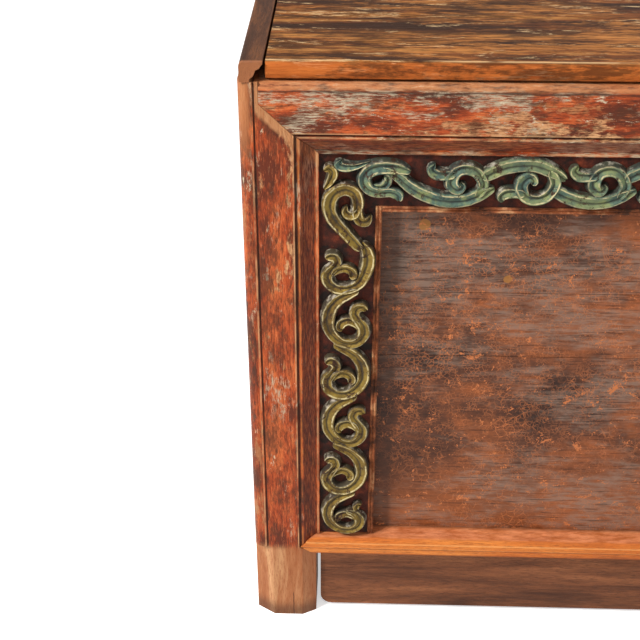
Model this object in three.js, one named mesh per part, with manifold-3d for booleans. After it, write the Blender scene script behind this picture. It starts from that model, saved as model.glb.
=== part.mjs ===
// Painted chest of post, rail and panel construction, with a pivoting front lid.
// Millimetres, +Z up, the front faces -Y, and the origin is on the floor under the middle.

import * as THREE from 'three';
import { mergeVertices } from 'three/addons/utils/BufferGeometryUtils.js';
import Module from 'manifold-3d';

const wasm = await Module();
wasm.setup();

// Overall sizes
const chestWidth = 1050;
const chestDepth = 540;
const carcassHeight = 700;
const sideFaceRecess = 6;

// Posts
const postWidth = 77.3;
const postDepth = 70;
const outerCornerSide = 10;
const outerCornerFront = 12;
const outerBeadWidth = 2.5;
const outerGrooveWidth = 1.8;
const outerGrooveDepth = 1.5;
const footHeight = 112;
const footOuterChamferWidth = 21.5;
const footOuterChamferDepth = 14;
const footInnerChamferWidth = 16.4;
const footInnerChamferDepth = 9;
const footInnerSetback = 4.3;
const backCornerRadius = 8;

// Moulding that the front posts and the top rail carry round the panel opening
const mouldingWidth = 24;
const mouldingGrooveWidth = 2.2;
const mouldingGrooveDepth = 3;
const mouldingBeadWidth = 3.6;
const mouldingBeadSetback = 1.8;
const innerEdgeWidth = 3.6;
const innerEdgeSetback = 9;
const hollowSteps = 4;

// Top rails
const topRailHeight = 76;
const topRailDepth = 48;
const topRailRound = 7;
const mitreOuterInset = 20;
const mitreOuterDrop = 22;
const mitreDepth = 24;
const sideTopRailHeight = 60;
const sideRailThickness = 32;

// Bottom rails
const bottomRailLow = 103;
const bottomRailFace = 23;
const bottomRailLedgeRise = 2.5;
const bottomRailDepth = 48;
const bottomRailFilletHeight = 9;
const bottomRailFilletSetback = 1.4;
const bottomRailNose = 3;
const copeInset = 54;
const copeDepth = 16;
const sideBottomRailHeight = 45;

// Tenons
const tenonLength = 34;
const tenonThickness = 10;
const tenonShoulder = 8;
const lowTenonShoulder = 4;
const topTenonCover = 18;
const tenonFaceInset = 34;
const jointClearance = 0.3;

// Aprons under the bottom rails
const apronSetback = 16;
const apronThickness = 18;
const apronFloorGap = 5;
const apronEndGap = 1;
const apronCornerRadius = 14;

// Front panel with its carved frame and inner bead
const borderWidth = 57.3;
const borderGroundSetback = 12;
const innerBeadWidth = 6.6;
const innerBeadSetback = 10;
const panelSetback = 25;
const panelThickness = 12;
const panelTongue = 8;
const frontSeamHeights = [378, 459];

// Side and back panels
const sidePanelSetback = 18;
const sidePanelThickness = 12;
const sideSeamHeights = [395];
const backPanelSetback = 12;
const backPanelThickness = 12;
const backSeamHeights = [300, 455];

// Floor
const bearerWidth = 50;
const bearerThickness = 20;
const bearerInset = 300;
const bearerTenon = 10;
const floorThickness = 15;
const floorBoardCount = 3;
const floorEdgeGap = 2;
const boardGap = 0.6;

// Top: fixed end strips, fixed rear boards and the cross rail under their front edge
const stripOuterInset = 2.5;
const stripWidth = 22.5;
const stripHeight = 19.5;
const stripRound = 4;
const stripNoseLength = 34;
const stripNoseFootWidth = 10;
const rearBoardSeam = 415;
const rearBoardFront = 285;
const crossRailHeight = 42;
const crossRailDepth = 44;

// Lid
const lidFrontSetback = 2.5;
const lidThickness = 17;
const lidLift = 2.5;
const lidNoseRound = 6;
const lidSeam = 138;
const lidEndGap = 2.5;
const lidRearGap = 2;
const battenWidth = 34;
const battenThickness = 16;
const battenInset = 290;
const battenFront = 60;
const battenRearClear = 40;
const pinRadius = 5;
const pinRunningClearance = 0.1;
const pinFixedClearance = 0.05;
const pinInStrip = 13;
const pinInLid = 26;
const pinEndClearance = 1;
const pinSides = 24;
const roundSteps = 5;

// Places worked out from the sizes above
const halfWidth = chestWidth / 2;
const halfDepth = chestDepth / 2;
const mouldingStart = postWidth - mouldingWidth;
const topRailLow = carcassHeight - topRailHeight;
const mouldingTop = topRailLow + mouldingWidth - innerEdgeWidth + mouldingBeadSetback;
const bottomRailFront = bottomRailLow + bottomRailFace;
const panelLow = bottomRailFront + bottomRailLedgeRise;
const innerBeadTop = topRailLow - borderWidth;
const borderInner = postWidth + borderWidth;
const innerBeadInner = borderInner + innerBeadWidth;
const lidLow = carcassHeight + lidLift;
const lidTop = lidLow + lidThickness;
const pivotHeight = lidLow + lidThickness / 2;
const pivotSetback = rearBoardFront - lidRearGap - lidThickness / 2;
const lidInset = stripOuterInset + stripWidth + lidEndGap;

// Finishes
const finishes = {
  redPaint: { color: 0x9c4a30, roughness: 0.75, metalness: 0 },
  bareOrange: { color: 0xb8783f, roughness: 0.7, metalness: 0 },
  darkTop: { color: 0x5a3520, roughness: 0.6, metalness: 0 },
  carvedGround: { color: 0x6a3a24, roughness: 0.75, metalness: 0 },
  crackledLacquer: { color: 0x66442f, roughness: 0.6, metalness: 0 },
  apronBrown: { color: 0x74462c, roughness: 0.75, metalness: 0 },
  plainWood: { color: 0x8a6642, roughness: 0.85, metalness: 0 },
};

// Shape helpers: side is -1 for the left and +1 for the right, inset is measured inwards
// from the outer face, and setback is measured backwards from the front face.

function acrossX(side, inset) {
  return side * (halfWidth - inset);
}

function fromFront(setback) {
  return setback - halfDepth;
}

function toSolid(geometry) {
  geometry.deleteAttribute('normal');
  geometry.deleteAttribute('uv');
  const merged = mergeVertices(geometry, 1e-5);
  const vertProperties = new Float32Array(merged.attributes.position.array);
  const triVerts = new Uint32Array(merged.index.array);
  return new wasm.Manifold(new wasm.Mesh({ numProp: 3, vertProperties, triVerts }));
}

function extruded(points, low, high, basis) {
  const shape = new THREE.Shape(points.map(([a, b]) => new THREE.Vector2(a, b)));
  const geometry = new THREE.ExtrudeGeometry(shape, { depth: high - low, bevelEnabled: false });
  geometry.translate(0, 0, low);
  geometry.applyMatrix4(basis);
  return toSolid(geometry);
}

const uprightBasis = new THREE.Matrix4();
const sidewaysBasis = new THREE.Matrix4().makeBasis(
  new THREE.Vector3(0, 1, 0), new THREE.Vector3(0, 0, 1), new THREE.Vector3(1, 0, 0));
const backwardBasis = new THREE.Matrix4().makeBasis(
  new THREE.Vector3(0, 0, 1), new THREE.Vector3(1, 0, 0), new THREE.Vector3(0, 1, 0));

// Points are [x, y]
function alongZ(points, low, high) {
  return extruded(points, low, high, uprightBasis);
}

// Points are [y, z]
function alongX(points, left, right) {
  return extruded(points, left, right, sidewaysBasis);
}

// Points are [x, z]
function alongY(points, front, back) {
  return extruded(points.map(([x, z]) => [z, x]), front, back, backwardBasis);
}

function block(x1, x2, y1, y2, z1, z2) {
  const geometry = new THREE.BoxGeometry(Math.abs(x2 - x1), Math.abs(y2 - y1), z2 - z1);
  geometry.translate((x1 + x2) / 2, (y1 + y2) / 2, (z1 + z2) / 2);
  return toSolid(geometry);
}

// A quarter round between two points of an outline, bulging towards the given corner
function quarter(from, corner, to) {
  const points = [];
  for (let step = 0; step <= roundSteps; step += 1) {
    const angle = (step / roundSteps) * Math.PI / 2;
    const a = 1 - Math.sin(angle);
    const b = 1 - Math.cos(angle);
    points.push([
      corner[0] + (from[0] - corner[0]) * a + (to[0] - corner[0]) * b,
      corner[1] + (from[1] - corner[1]) * a + (to[1] - corner[1]) * b,
    ]);
  }
  return points;
}

// The moulding's outline across its width, from the flat face to its inner edge:
// a sunk groove, a bead, a hollow and a narrow inner edge. Pairs are [across, setback].
function mouldingProfile() {
  const beadStart = mouldingGrooveWidth;
  const hollowStart = beadStart + mouldingBeadWidth;
  const hollowEnd = mouldingWidth - innerEdgeWidth;
  const profile = [
    [0, 0],
    [0.4, mouldingGrooveDepth],
    [beadStart, mouldingGrooveDepth],
    [beadStart + 0.4, mouldingBeadSetback],
    [hollowStart, mouldingBeadSetback],
  ];
  for (let step = 1; step <= hollowSteps; step += 1) {
    const share = step / hollowSteps;
    const across = hollowStart + (hollowEnd - hollowStart) * share;
    const dip = Math.sin(share * Math.PI) * 1.2;
    const drop = (innerEdgeSetback + 1.5 - mouldingBeadSetback) * share;
    profile.push([across, mouldingBeadSetback + drop + dip]);
  }
  profile.push([hollowEnd + 0.5, innerEdgeSetback]);
  profile.push([mouldingWidth, innerEdgeSetback]);
  return profile;
}

function frontPost(side) {
  const grooveStart = outerCornerFront + outerBeadWidth;
  const grooveEnd = grooveStart + outerGrooveWidth;
  const outline = [
    [0, postDepth],
    ...quarter([0, outerCornerSide], [0, 1], [outerCornerFront, 1]),
    [outerCornerFront + 0.5, 0],
    [grooveStart, 0],
    [grooveStart + 0.3, outerGrooveDepth],
    [grooveEnd, outerGrooveDepth],
    [grooveEnd + 0.3, 0],
    ...mouldingProfile().map(([across, setback]) => [mouldingStart + across, setback]),
    [postWidth, postDepth],
  ];
  const footOutline = [
    [0, postDepth],
    [0, footOuterChamferDepth],
    [footOuterChamferWidth, 0],
    [postWidth - footInnerSetback - footInnerChamferWidth, 0],
    [postWidth - footInnerSetback, footInnerChamferDepth],
    [postWidth - footInnerSetback, postDepth],
  ];
  const place = ([inset, setback]) => [acrossX(side, inset), fromFront(setback)];
  const shaft = alongZ(outline.map(place), footHeight, carcassHeight);
  const foot = alongZ(footOutline.map(place), 0, footHeight + 1);
  const insideShaft = alongZ(outline.map(place), footHeight - 1, footHeight + 2);
  return shaft.add(foot.subtract(insideShaft)).add(foot.intersect(insideShaft))
    .subtract(topMitre(side, 0))
    .subtract(cope(side, 0))
    .subtract(frontTenon(side, topTenonLow, topTenonHigh, jointClearance))
    .subtract(frontTenon(side, bottomTenonLow, bottomTenonHigh, jointClearance))
    .subtract(sideTenons(side, -1, jointClearance))
    .subtract(groove(side, panelSetback, panelThickness))
    .subtract(sideGroove(side, -1));
}

function backPost(side) {
  const outline = [
    [0, chestDepth - postDepth],
    ...quarter([0, chestDepth - backCornerRadius], [0, chestDepth], [backCornerRadius, chestDepth]),
    [postWidth, chestDepth],
    [postWidth, chestDepth - postDepth],
  ];
  const place = ([inset, setback]) => [acrossX(side, inset), fromFront(setback)];
  return alongZ(outline.map(place), 0, carcassHeight)
    .subtract(backTenon(side, topTenonLow, topTenonHigh, jointClearance))
    .subtract(backTenon(side, bottomTenonLow, bottomTenonHigh, jointClearance))
    .subtract(sideTenons(side, 1, jointClearance))
    .subtract(groove(side, chestDepth - backPanelSetback - backPanelThickness, backPanelThickness))
    .subtract(sideGroove(side, 1));
}

// Tenon heights
const topTenonLow = topRailLow + tenonShoulder;
const topTenonHigh = carcassHeight - topTenonCover;
const bottomTenonLow = bottomRailLow + lowTenonShoulder;
const bottomTenonHigh = panelLow - tenonShoulder;

// The front part of the top rail's end, mitred over the post
function topMitre(side, gap) {
  const points = [
    [postWidth + 2, topRailLow],
    [postWidth, topRailLow],
    [mouldingStart, mouldingTop],
    [mitreOuterInset, carcassHeight - mitreOuterDrop],
    [mitreOuterInset, carcassHeight + 1],
    [postWidth + 2, carcassHeight + 1],
  ].map(([inset, z]) => [acrossX(side, inset + gap), z + gap]);
  const reach = gap > 0 ? mitreDepth : mitreDepth + jointClearance;
  return alongY(points, fromFront(-1), fromFront(reach));
}

// The pointed front part of the bottom rail's end, coped over the post's moulding
function cope(side, gap) {
  const points = [
    [postWidth + 2, bottomRailLow],
    [postWidth - 9, bottomRailLow],
    [copeInset, bottomRailLow + bottomRailFilletHeight],
    [copeInset + 9, bottomRailLow + bottomRailFilletHeight + 9],
    [postWidth, panelLow],
    [postWidth + 2, panelLow],
  ].map(([inset, z]) => [acrossX(side, inset + gap), z]);
  const reach = gap > 0 ? copeDepth : copeDepth + jointClearance;
  return alongY(points, fromFront(-1), fromFront(reach));
}

function frontTenon(side, low, high, grow) {
  return block(
    acrossX(side, postWidth - tenonLength - grow), acrossX(side, postWidth + 1),
    fromFront(tenonFaceInset - grow), fromFront(tenonFaceInset + tenonThickness + grow),
    low - grow, high + grow);
}

function backTenon(side, low, high, grow) {
  const setback = chestDepth - tenonFaceInset - tenonThickness;
  return block(
    acrossX(side, postWidth - tenonLength - grow), acrossX(side, postWidth + 1),
    fromFront(setback - grow), fromFront(setback + tenonThickness + grow),
    low - grow, high + grow);
}

const sideTenonInset = sideFaceRecess + 4;
const sideTopTenonLow = carcassHeight - sideTopRailHeight + tenonShoulder;
const sideBottomTenonHigh = bottomRailLow + sideBottomRailHeight - tenonShoulder;

// Both tenons of the side rails that enter one post; end is -1 for the front post
function sideTenons(side, end, grow) {
  const y1 = end * (halfDepth - postDepth + tenonLength / 2 + grow);
  const y2 = end * (halfDepth - postDepth - 1);
  const x1 = acrossX(side, sideTenonInset - grow);
  const x2 = acrossX(side, sideTenonInset + tenonThickness + grow);
  const top = block(x1, x2, y1, y2, sideTopTenonLow - grow, topTenonHigh + grow);
  const bottom = block(x1, x2, y1, y2, bottomTenonLow - grow, sideBottomTenonHigh + grow);
  return top.add(bottom);
}

// The groove in a post's inner face for the front or back panel boards
function groove(side, setback, thickness) {
  return block(
    acrossX(side, postWidth - panelTongue - jointClearance), acrossX(side, postWidth + 1),
    fromFront(setback - jointClearance), fromFront(setback + thickness + jointClearance),
    panelLow - panelTongue - jointClearance, topRailLow + panelTongue + jointClearance);
}

// The groove in a post for the side panel boards
function sideGroove(side, end) {
  const inset = sidePanelSetback;
  return block(
    acrossX(side, inset - jointClearance), acrossX(side, inset + sidePanelThickness + jointClearance),
    end * (halfDepth - postDepth + panelTongue + jointClearance), end * (halfDepth - postDepth - 1),
    sidePanelLow - panelTongue - jointClearance, sidePanelHigh + panelTongue + jointClearance);
}

const sidePanelLow = bottomRailLow + sideBottomRailHeight;
const sidePanelHigh = carcassHeight - sideTopRailHeight;

function railBetween(outline, inset) {
  const points = outline.map(([setback, z]) => [fromFront(setback), z]);
  return alongX(points, -halfWidth + inset, halfWidth - inset);
}

function frontTopRail() {
  const profile = mouldingProfile().reverse()
    .map(([across, setback]) => [setback, topRailLow + mouldingWidth - across]);
  const outline = [
    [topRailDepth, topRailLow],
    ...profile,
    ...quarter([0, carcassHeight - topRailRound], [0, carcassHeight], [topRailRound, carcassHeight]),
    [topRailDepth, carcassHeight],
  ];
  let rail = railBetween(outline, postWidth);
  const long = railBetween(outline, mitreOuterInset);
  for (const side of [-1, 1]) {
    rail = rail.add(long.intersect(topMitre(side, jointClearance)))
      .add(frontTenon(side, topTenonLow, topTenonHigh, 0));
  }
  const slot = block(
    -halfWidth + postWidth - 1, halfWidth - postWidth + 1,
    fromFront(panelSetback - jointClearance),
    fromFront(panelSetback + panelThickness + jointClearance),
    topRailLow - 1, topRailLow + panelTongue + jointClearance);
  return rail.subtract(slot);
}

function frontBottomRail() {
  const outline = [
    [bottomRailDepth, bottomRailLow],
    [bottomRailFilletSetback, bottomRailLow],
    [bottomRailFilletSetback, bottomRailLow + bottomRailFilletHeight],
    ...quarter(
      [0, bottomRailLow + bottomRailFilletHeight + 1],
      [0, bottomRailFront],
      [bottomRailNose * 2, bottomRailFront]),
    [panelSetback, panelLow],
    [bottomRailDepth, panelLow],
  ];
  let rail = railBetween(outline, postWidth);
  const long = railBetween(outline, copeInset);
  for (const side of [-1, 1]) {
    rail = rail.add(long.intersect(cope(side, jointClearance)))
      .add(frontTenon(side, bottomTenonLow, bottomTenonHigh, 0));
  }
  const slot = block(
    -halfWidth + postWidth - 1, halfWidth - postWidth + 1,
    fromFront(panelSetback - jointClearance),
    fromFront(panelSetback + panelThickness + jointClearance),
    panelLow - panelTongue - jointClearance, panelLow + 1);
  return rail.subtract(slot).subtract(bearerTenons(-1, jointClearance));
}

function backRail(low, high, tenonLow, tenonHigh) {
  let rail = block(
    -halfWidth + postWidth, halfWidth - postWidth,
    fromFront(chestDepth - topRailDepth), fromFront(chestDepth), low, high);
  for (const side of [-1, 1]) {
    rail = rail.add(backTenon(side, tenonLow, tenonHigh, 0));
  }
  const setback = chestDepth - backPanelSetback - backPanelThickness;
  const slot = block(
    -halfWidth + postWidth - 1, halfWidth - postWidth + 1,
    fromFront(setback - jointClearance), fromFront(setback + backPanelThickness + jointClearance),
    panelLow - panelTongue - jointClearance, topRailLow + panelTongue + jointClearance);
  return rail.subtract(slot);
}

function sideRail(side, low, high, isTop) {
  const reach = halfDepth - postDepth;
  const rail = block(
    acrossX(side, sideFaceRecess), acrossX(side, sideFaceRecess + sideRailThickness),
    -reach, reach, low, high);
  const band = block(
    acrossX(side, 0), acrossX(side, postWidth), -halfDepth, halfDepth,
    isTop ? sidePanelHigh : 0, isTop ? carcassHeight : sidePanelHigh);
  const tenons = sideTenons(side, -1, 0).add(sideTenons(side, 1, 0)).intersect(band);
  const slot = block(
    acrossX(side, sidePanelSetback - jointClearance),
    acrossX(side, sidePanelSetback + sidePanelThickness + jointClearance),
    -reach - 1, reach + 1,
    sidePanelLow - panelTongue - jointClearance, sidePanelHigh + panelTongue + jointClearance);
  return rail.add(tenons).subtract(slot);
}

// An apron board's outline, hung under a rail, with its lower corners rounded
function apronOutline(start, end) {
  return [
    [start, bottomRailLow],
    ...quarter(
      [start, apronFloorGap + apronCornerRadius], [start, apronFloorGap],
      [start + apronCornerRadius, apronFloorGap]),
    ...quarter(
      [end - apronCornerRadius, apronFloorGap], [end, apronFloorGap],
      [end, apronFloorGap + apronCornerRadius]),
    [end, bottomRailLow],
  ];
}

function frontApron() {
  const reach = halfWidth - postWidth - apronEndGap;
  const points = apronOutline(-reach, reach);
  return alongY(points, fromFront(apronSetback), fromFront(apronSetback + apronThickness));
}

function sideApron(side) {
  const reach = halfDepth - postDepth - apronEndGap;
  const outer = acrossX(side, apronSetback);
  const inner = acrossX(side, apronSetback + apronThickness);
  return alongX(apronOutline(-reach, reach), Math.min(outer, inner), Math.max(outer, inner));
}

// Boards one above another between a low and a high edge, split at the seam heights
function stackedBoards(name, low, high, seams, makeBoard, finish) {
  const edges = [low, ...seams, high];
  return edges.slice(1).map((top, index) => {
    const bottom = edges[index] + (index > 0 ? boardGap / 2 : 0);
    const upper = top - (index < seams.length ? boardGap / 2 : 0);
    return piece(`${name}_${index + 1}`, makeBoard(bottom, upper), finish);
  });
}

function frontBoard(low, high) {
  const reach = halfWidth - postWidth + panelTongue;
  return block(
    -reach, reach, fromFront(panelSetback), fromFront(panelSetback + panelThickness), low, high);
}

function backBoard(low, high) {
  const reach = halfWidth - postWidth + panelTongue;
  const setback = chestDepth - backPanelSetback - backPanelThickness;
  return block(-reach, reach, fromFront(setback), fromFront(setback + backPanelThickness), low, high);
}

function sideBoard(side, low, high) {
  const reach = halfDepth - postDepth + panelTongue;
  return block(
    acrossX(side, sidePanelSetback), acrossX(side, sidePanelSetback + sidePanelThickness),
    -reach, reach, low, high);
}

function borderSide(side) {
  return block(
    acrossX(side, postWidth), acrossX(side, borderInner),
    fromFront(borderGroundSetback), fromFront(panelSetback), panelLow, innerBeadTop);
}

function borderTop() {
  const reach = halfWidth - postWidth;
  return block(
    -reach, reach, fromFront(borderGroundSetback), fromFront(panelSetback), innerBeadTop, topRailLow);
}

// The inner bead's outline across its width: two thin rounds with a hollow between
function beadProfile() {
  const crest = innerBeadWidth * 0.22;
  return [
    [0, innerBeadSetback + 1.5],
    [crest, innerBeadSetback],
    [innerBeadWidth / 2, innerBeadSetback + 1.8],
    [innerBeadWidth - crest, innerBeadSetback],
    [innerBeadWidth, innerBeadSetback + 1.5],
  ];
}

function innerBeadSide(side) {
  const outline = [
    [borderInner, panelSetback],
    ...beadProfile().map(([across, setback]) => [borderInner + across, setback]),
    [innerBeadInner, panelSetback],
  ];
  const place = ([inset, setback]) => [acrossX(side, inset), fromFront(setback)];
  return alongZ(outline.map(place), panelLow, innerBeadTop);
}

function innerBeadTopPiece() {
  const outline = [
    [panelSetback, innerBeadTop],
    ...beadProfile().map(([across, setback]) => [setback, innerBeadTop - across]),
    [panelSetback, innerBeadTop - innerBeadWidth],
  ];
  return railBetween(outline, innerBeadInner);
}

const bearerTop = bottomRailLow + bearerThickness;

function bearerTenons(end, grow) {
  const inner = halfDepth - bottomRailDepth;
  let tenons = null;
  for (const side of [-1, 1]) {
    const centre = acrossX(side, bearerInset);
    const tenon = block(
      centre - bearerWidth / 2 + tenonShoulder - grow, centre + bearerWidth / 2 - tenonShoulder + grow,
      end * (inner - 1), end * (inner + bearerTenon + grow),
      bottomRailLow + tenonShoulder / 2 - grow, bearerTop - tenonShoulder / 2 + grow);
    tenons = tenons ? tenons.add(tenon) : tenon;
  }
  return tenons;
}

function floorBearer(side) {
  const centre = acrossX(side, bearerInset);
  const reach = halfDepth - bottomRailDepth;
  const near = block(centre - bearerWidth, centre + bearerWidth, -halfDepth, halfDepth, 0, carcassHeight);
  const tenons = bearerTenons(-1, 0).add(bearerTenons(1, 0)).intersect(near);
  return block(
    centre - bearerWidth / 2, centre + bearerWidth / 2, -reach, reach, bottomRailLow, bearerTop).add(tenons);
}

function floorBoard(index) {
  const front = -halfDepth + bottomRailDepth + floorEdgeGap;
  const pitch = (-2 * front) / floorBoardCount;
  const reach = halfWidth - postWidth - floorEdgeGap;
  return block(
    -reach, reach, front + pitch * index + boardGap / 2, front + pitch * (index + 1) - boardGap / 2,
    bearerTop, bearerTop + floorThickness);
}

// Top pieces

function pinHole(side, radius, from, to) {
  const length = Math.abs(from - to);
  const geometry = new THREE.CylinderGeometry(radius, radius, length, pinSides);
  geometry.rotateZ(Math.PI / 2);
  geometry.translate(
    (acrossX(side, from) + acrossX(side, to)) / 2, fromFront(pivotSetback), pivotHeight);
  return toSolid(geometry);
}

function endStrip(side) {
  const top = carcassHeight + stripHeight;
  const inner = stripOuterInset + stripWidth;
  const outline = [
    [stripOuterInset, carcassHeight],
    ...quarter([stripOuterInset, top - stripRound], [stripOuterInset, top], [stripOuterInset + stripRound, top]),
    [inner, top],
    [inner, carcassHeight],
  ];
  const body = alongY(outline.map(([inset, z]) => [acrossX(side, inset), z]), -halfDepth, halfDepth);
  const foot = stripOuterInset + stripNoseFootWidth;
  const middle = carcassHeight + stripHeight * 0.45;
  const waste = [
    [foot, carcassHeight - 1],
    [foot, carcassHeight + 3],
    [foot + 3.5, middle - 3],
    [foot + 6, middle + 3],
    [foot + 9.5, top - 6],
    [inner - 0.5, top - 2],
    [inner + 1, top - 2],
    [inner + 1, carcassHeight - 1],
  ].map(([inset, z]) => [acrossX(side, inset), z]);
  const hole = pinHole(side, pinRadius + pinRunningClearance, inner - pinInStrip - pinEndClearance, inner + 1);
  return body
    .subtract(alongY(waste, -halfDepth - 1, -halfDepth + stripNoseLength))
    .subtract(hole);
}

function rearBoard(front, back) {
  const reach = halfWidth - stripOuterInset - stripWidth - boardGap;
  return block(-reach, reach, fromFront(front), fromFront(back), carcassHeight, lidTop);
}

// The cross rail carries the rear boards' front edge, and is housed over the side top rails
function crossRail() {
  const reach = halfWidth - sideFaceRecess - sideRailThickness;
  const front = fromFront(rearBoardFront - lidRearGap);
  return block(
    -reach, reach, front, front + crossRailDepth, carcassHeight - crossRailHeight, carcassHeight);
}

// The lid is built round its own pivot, which is where its group stands

function lidPoint(setback, z) {
  return [setback - pivotSetback, z - pivotHeight];
}

const lidReach = halfWidth - lidInset;

function lidFrontBoard() {
  const outline = [
    [lidSeam - boardGap / 2, lidLow],
    ...quarter(
      [lidFrontSetback + 3, lidLow], [lidFrontSetback + 1, lidLow], [lidFrontSetback + 1, lidLow + 2]),
    [lidFrontSetback, lidLow + 5],
    ...quarter(
      [lidFrontSetback, lidTop - lidNoseRound], [lidFrontSetback, lidTop],
      [lidFrontSetback + lidNoseRound, lidTop]),
    [lidSeam - boardGap / 2, lidTop],
  ];
  return alongX(outline.map(([setback, z]) => lidPoint(setback, z)), -lidReach, lidReach);
}

function lidRearBoard() {
  const radius = lidThickness / 2;
  const round = [];
  for (let step = 0; step <= roundSteps * 2; step += 1) {
    const angle = -Math.PI / 2 + (step / (roundSteps * 2)) * Math.PI;
    round.push([Math.cos(angle) * radius, Math.sin(angle) * radius]);
  }
  const seam = lidSeam + boardGap / 2 - pivotSetback;
  const board = alongX([[seam, radius], [seam, -radius], ...round], -lidReach, lidReach);
  let bored = board;
  for (const side of [-1, 1]) {
    const centre = side * (lidReach - pinInLid / 2 + 1);
    bored = bored.subtract(pinCylinder(pinRadius + pinFixedClearance, centre, pinInLid + 2));
  }
  return bored;
}

function pinCylinder(radius, centre, length) {
  const geometry = new THREE.CylinderGeometry(radius, radius, length, pinSides);
  geometry.rotateZ(Math.PI / 2);
  geometry.translate(centre, 0, 0);
  return toSolid(geometry);
}

function lidPin(side) {
  const outer = halfWidth - (stripOuterInset + stripWidth - pinInStrip);
  const inner = lidReach - pinInLid + pinFixedClearance;
  return pinCylinder(pinRadius, side * (outer + inner) / 2, outer - inner);
}

function lidBatten(side) {
  const centre = side * (halfWidth - battenInset);
  const [front, top] = lidPoint(battenFront, lidLow);
  const chamfer = battenThickness / 2;
  const back = -battenRearClear;
  const outline = [
    [front, top],
    [front, top - battenThickness + chamfer],
    [front + chamfer, top - battenThickness],
    [back - chamfer, top - battenThickness],
    [back, top - battenThickness + chamfer],
    [back, top],
  ];
  return alongX(outline, centre - battenWidth / 2, centre + battenWidth / 2);
}

// A named mesh from a solid
function piece(name, solid, finish) {
  const mesh = solid.getMesh();
  const geometry = new THREE.BufferGeometry();
  geometry.setAttribute('position', new THREE.Float32BufferAttribute(mesh.vertProperties, 3));
  geometry.setIndex(new THREE.Uint32BufferAttribute(mesh.triVerts, 1));
  geometry.computeVertexNormals();
  const result = new THREE.Mesh(geometry, new THREE.MeshStandardMaterial(finishes[finish]));
  result.name = name;
  return result;
}

const sides = [['left', -1], ['right', 1]];
const carcass = new THREE.Group();
for (const [word, side] of sides) {
  carcass.add(piece(`front_post_${word}`, frontPost(side), 'redPaint'));
  carcass.add(piece(`back_post_${word}`, backPost(side), 'redPaint'));
  carcass.add(piece(
    `side_top_rail_${word}`, sideRail(side, sidePanelHigh, carcassHeight, true), 'redPaint'));
  carcass.add(piece(
    `side_bottom_rail_${word}`, sideRail(side, bottomRailLow, sidePanelLow, false), 'bareOrange'));
  carcass.add(piece(`side_apron_${word}`, sideApron(side), 'apronBrown'));
  carcass.add(...stackedBoards(
    `side_board_${word}`, sidePanelLow - panelTongue, sidePanelHigh + panelTongue, sideSeamHeights,
    (low, high) => sideBoard(side, low, high), 'crackledLacquer'));
  carcass.add(piece(`floor_bearer_${word}`, floorBearer(side), 'plainWood'));
}
carcass.add(piece('front_top_rail', frontTopRail(), 'redPaint'));
carcass.add(piece('front_bottom_rail', frontBottomRail(), 'bareOrange'));
carcass.add(piece('front_apron', frontApron(), 'apronBrown'));
carcass.add(piece(
  'back_top_rail', backRail(topRailLow, carcassHeight, topTenonLow, topTenonHigh), 'plainWood'));
carcass.add(piece(
  'back_bottom_rail',
  backRail(bottomRailLow, panelLow, bottomTenonLow, bottomTenonHigh)
    .subtract(bearerTenons(1, jointClearance)),
  'plainWood'));
carcass.add(...stackedBoards(
  'front_board', panelLow - panelTongue, topRailLow + panelTongue, frontSeamHeights,
  frontBoard, 'crackledLacquer'));
carcass.add(...stackedBoards(
  'back_board', panelLow - panelTongue, topRailLow + panelTongue, backSeamHeights,
  backBoard, 'plainWood'));
for (let index = 0; index < floorBoardCount; index += 1) {
  carcass.add(piece(`floor_board_${index + 1}`, floorBoard(index), 'plainWood'));
}

const panelFrame = new THREE.Group();
for (const [word, side] of sides) {
  panelFrame.add(piece(`carved_border_${word}`, borderSide(side), 'carvedGround'));
  panelFrame.add(piece(`inner_bead_${word}`, innerBeadSide(side), 'carvedGround'));
}
panelFrame.add(piece('carved_border_top', borderTop(), 'carvedGround'));
panelFrame.add(piece('inner_bead_top', innerBeadTopPiece(), 'carvedGround'));

const fixedTop = new THREE.Group();
for (const [word, side] of sides) {
  fixedTop.add(piece(`end_strip_${word}`, endStrip(side), 'darkTop'));
}
fixedTop.add(piece(
  'rear_top_board_1', rearBoard(rearBoardFront, rearBoardSeam - boardGap / 2), 'darkTop'));
fixedTop.add(piece(
  'rear_top_board_2', rearBoard(rearBoardSeam + boardGap / 2, chestDepth), 'darkTop'));
fixedTop.add(piece('cross_rail', crossRail(), 'plainWood'));

const lid = new THREE.Group();
lid.position.set(0, fromFront(pivotSetback), pivotHeight);
lid.add(piece('lid_front_board', lidFrontBoard(), 'darkTop'));
lid.add(piece('lid_rear_board', lidRearBoard(), 'darkTop'));
for (const [word, side] of sides) {
  lid.add(piece(`lid_batten_${word}`, lidBatten(side), 'plainWood'));
  lid.add(piece(`lid_pin_${word}`, lidPin(side), 'plainWood'));
}

const chest = new THREE.Group();
chest.add(carcass, panelFrame, fixedTop, lid);

export default chest;
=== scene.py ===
"""Looks for the painted chest: worn paint, crackled lacquer and a carved scroll frame."""

import math

import bmesh
import bpy
from mathutils import Matrix, Vector


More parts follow.
